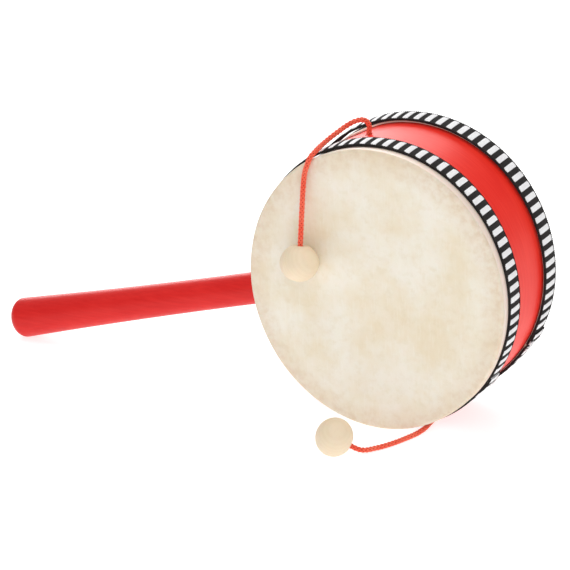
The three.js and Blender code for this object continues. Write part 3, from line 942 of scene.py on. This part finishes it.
# %% Brushed red enamel
def brushed_enamel(name, deep, bright, place_by, roughness):
    """place_by turns coordinates in millimetres into coordinates along and across the brush strokes."""
    material, tree, shader, place = start_material(name)
    strokes = speckle(tree, place_by(tree, place), 1.0, 3.0)
    cloud = speckle(tree, place, 0.03, 2.0)
    peel = speckle(tree, place, 0.5, 2.0)
    amount = calculate(tree, "MULTIPLY_ADD", cloud, 0.5, calculate(tree, "MULTIPLY", strokes, 0.5))
    colour = blend_colours(tree, remap(tree, amount, 0.38, 0.62), deep, bright)
    height = calculate(tree, "MULTIPLY_ADD", strokes, 0.6, calculate(tree, "MULTIPLY", peel, 0.4))
    finish_surface(tree, shader, colour, height, 0.04, {
        "Roughness": roughness, "Specular IOR Level": 0.2,
    })
    return material


def round_the_hoop(tree, place):
    """Strokes long round the drum and narrow along its axis."""
    parts = add(tree, "ShaderNodeSeparateXYZ", None, {0: place}).outputs
    return add(tree, "ShaderNodeCombineXYZ", None, {
        0: calculate(tree, "MULTIPLY", parts[0], 0.05),
        1: calculate(tree, "MULTIPLY", parts[1], 0.9),
        2: calculate(tree, "MULTIPLY", parts[2], 0.05),
    }).outputs[0]


def along_the_handle(tree, place):
    """Strokes long down the stick and narrow across it."""
    turned = add(tree, "ShaderNodeMapping", {"vector_type": "POINT"}, {
        "Vector": place, "Rotation": (0, handle_lean, 0), "Scale": (0.04, 0.8, 0.8),
    })
    return turned.outputs[0]


hoop_cut.materials.clear()
hoop_cut.materials.append(brushed_enamel("hoop_red_enamel", "#F12A1E", "#FA382A", round_the_hoop, 0.42))
keep(hoop_cut, "hoop", "shell")

# %% [markdown]
# ## The turned handle
# The stick is turned from one piece of wood, slim at the drum and swelling towards a domed butt. Its outline is a
# gentle parabola through three measured radii. Faint ridges, a few hundredths of a millimetre high, are what the
# gouge leaves, and they catch the light in fine rings. The butt's underside rests on the table.

# %% Handle
HANDLE_START, HANDLE_DOME = 66.2, 7.0
NECK_AT, NECK_RADIUS, MIDDLE_RADIUS = 75, 8.8, 9.2
HANDLE_RINGS, HANDLE_TURNS = 150, 96


def handle_radius(along):
    middle = (NECK_AT + HANDLE_BUTT) / 2
    t = (along - middle) / (HANDLE_BUTT - middle)
    bow = (NECK_RADIUS + HANDLE_BUTT_RADIUS) / 2 - MIDDLE_RADIUS
    return MIDDLE_RADIUS + (HANDLE_BUTT_RADIUS - NECK_RADIUS) / 2 * t + bow * t * t


def handle_profile():
    profile = [(0, HANDLE_START)]
    for ring in range(HANDLE_RINGS + 1):
        along = HANDLE_START + (HANDLE_BUTT - HANDLE_START) * ring / HANDLE_RINGS
        ridge = 0.02 * math.sin(along * 2.1) + 0.03 * noise.noise(Vector((along * 0.4, 0, 0)))
        profile.append((handle_radius(along) + ridge, along))
    for step in range(1, 16):
        turn = math.radians(90 * step / 16)
        profile.append((HANDLE_BUTT_RADIUS * math.cos(turn), HANDLE_BUTT + HANDLE_DOME * math.sin(turn)))
    return profile + [(0, HANDLE_BUTT + HANDLE_DOME)]


handle_turn = handle_line.to_track_quat("Z", "Y")


def on_handle(radius, along, angle):
    local = Vector((radius * math.cos(angle), radius * math.sin(angle), along)) * MM
    return above_table(DRUM_CENTRE + handle_turn @ local)


handle_mesh = revolve("handle_stick", handle_profile(), HANDLE_TURNS, on_handle)
handle_mesh.materials.append(brushed_enamel("handle_red_enamel", "#D3201E", "#DF2A26", along_the_handle, 0.42))
keep(handle_mesh, "handle_stick", "handle")

# %% [markdown]
# ## Table and light
# The drum stands on a plain white light table, whose own soft glow lifts the shadows and lays a pale edge along
# the underside of the enamel. Soft lamps do the rest: a wide one overhead, a weaker one from the camera's side,
# and one low behind the drum on the left, for the sheen where the hoop turns away. An even white surround fills in.

# %% Floor
FLOOR_HALF = 6.0
floor_mesh = bpy.data.meshes.new("floor")
corners = [(x * FLOOR_HALF, y * FLOOR_HALF, 0) for x, y in ((-1, -1), (1, -1), (1, 1), (-1, 1))]
floor_mesh.from_pydata(corners, [], [(0, 1, 2, 3)])
floor_material, floor_tree, floor_shader, floor_place = start_material("matt_white_table")
floor_grain = speckle(floor_tree, floor_place, 0.2, 2.0)
floor_white = blend_colours(floor_tree, floor_grain, "#C6C6C6", "#C8C8C8")
finish_surface(floor_tree, floor_shader, floor_white, floor_grain, 0.01, {
    "Roughness": 0.9, "Specular IOR Level": 0.1, "Emission Color": (1, 1, 1, 1), "Emission Strength": 0.74,
})
floor_mesh.materials.append(floor_material)
floor = bpy.data.objects.new("floor", floor_mesh)
bpy.context.collection.objects.link(floor)


# %% Lamps
def lamp(name, offset, size, power):
    """A square soft lamp that looks at the drum from this far off, in metres."""
    light = bpy.data.lights.new(name, "AREA")
    light.shape = "SQUARE"
    light.size = size
    light.energy = power
    holder = bpy.data.objects.new(name, light)
    holder.location = DRUM_CENTRE + Vector(offset)
    holder.rotation_euler = (-Vector(offset)).to_track_quat("-Z", "Y").to_euler()
    bpy.context.collection.objects.link(holder)
    return holder


lamp("overhead", (-0.2, 0.0, 1.6), 1.5, 12.5)
lamp("front_fill", (0.85, -1.3, 0.8), 1.4, 8.4)
lamp("low_behind", (-0.68, 1.24, 0.5), 1.2, 17)
world = bpy.data.worlds.new("white_surround")
world.use_nodes = True
world.node_tree.nodes["Background"].inputs["Color"].default_value = (1, 1, 1, 1)
world.node_tree.nodes["Background"].inputs["Strength"].default_value = 0.38
bpy.context.scene.world = world
